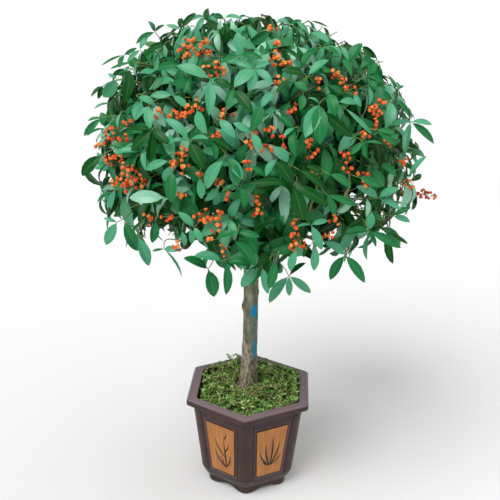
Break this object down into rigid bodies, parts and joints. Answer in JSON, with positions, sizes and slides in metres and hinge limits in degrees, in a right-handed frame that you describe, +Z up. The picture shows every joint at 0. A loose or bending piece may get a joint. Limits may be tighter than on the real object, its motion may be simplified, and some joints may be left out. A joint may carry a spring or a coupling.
{
  "type": "potted orange sweet osmanthus",
  "caption": "Orange sweet osmanthus in bloom: a round leafy crown on one clear trunk, in a six-sided footed pot with inset panels.",
  "frame": {"origin": "on the ground under the pot's axis", "axes": "+Z up along the trunk, -Y the front, where one corner of the pot points"},
  "size_m": [0.9885, 0.952, 1.4036],
  "materials": {
    "pot_clay": "satin",
    "panel_clay": "matte",
    "soil": "matte",
    "ground_cover": "matte",
    "bark": "matte",
    "foliage": "satin"
  },
  "bodies": {
    "root": {"pot": "pot_clay", "panel_1": "panel_clay", "panel_2": "panel_clay", "panel_3": "panel_clay", "panel_4": "panel_clay", "panel_5": "panel_clay", "panel_6": "panel_clay", "soil": "soil", "ground_cover_1": "ground_cover", "ground_cover_2": "ground_cover", "ground_cover_3": "ground_cover", "ground_cover_4": "ground_cover", "ground_cover_5": "ground_cover", "ground_cover_6": "ground_cover", "trunk": "bark", "bough_1": "bark", "bough_2": "bark", "bough_3": "bark", "bough_4": "bark", "bough_5": "bark", "bough_6": "bark", "bough_7": "bark", "bough_8": "bark", "bough_9": "bark", "bough_10": "bark", "bough_11": "bark", "bough_12": "bark", "bough_13": "bark", "bough_14": "bark", "bough_15": "bark", "bough_16": "bark", "bough_17": "bark", "bough_18": "bark", "bough_19": "bark", "foliage_1": "foliage", "foliage_2": "foliage", "foliage_3": "foliage", "foliage_4": "foliage", "foliage_5": "foliage", "foliage_6": "foliage", "foliage_7": "foliage", "foliage_8": "foliage", "foliage_9": "foliage", "foliage_10": "foliage", "foliage_11": "foliage", "foliage_12": "foliage", "foliage_13": "foliage", "foliage_14": "foliage", "foliage_15": "foliage", "foliage_16": "foliage", "foliage_17": "foliage", "foliage_18": "foliage", "foliage_19": "foliage"}
  },
  "joints": []
}
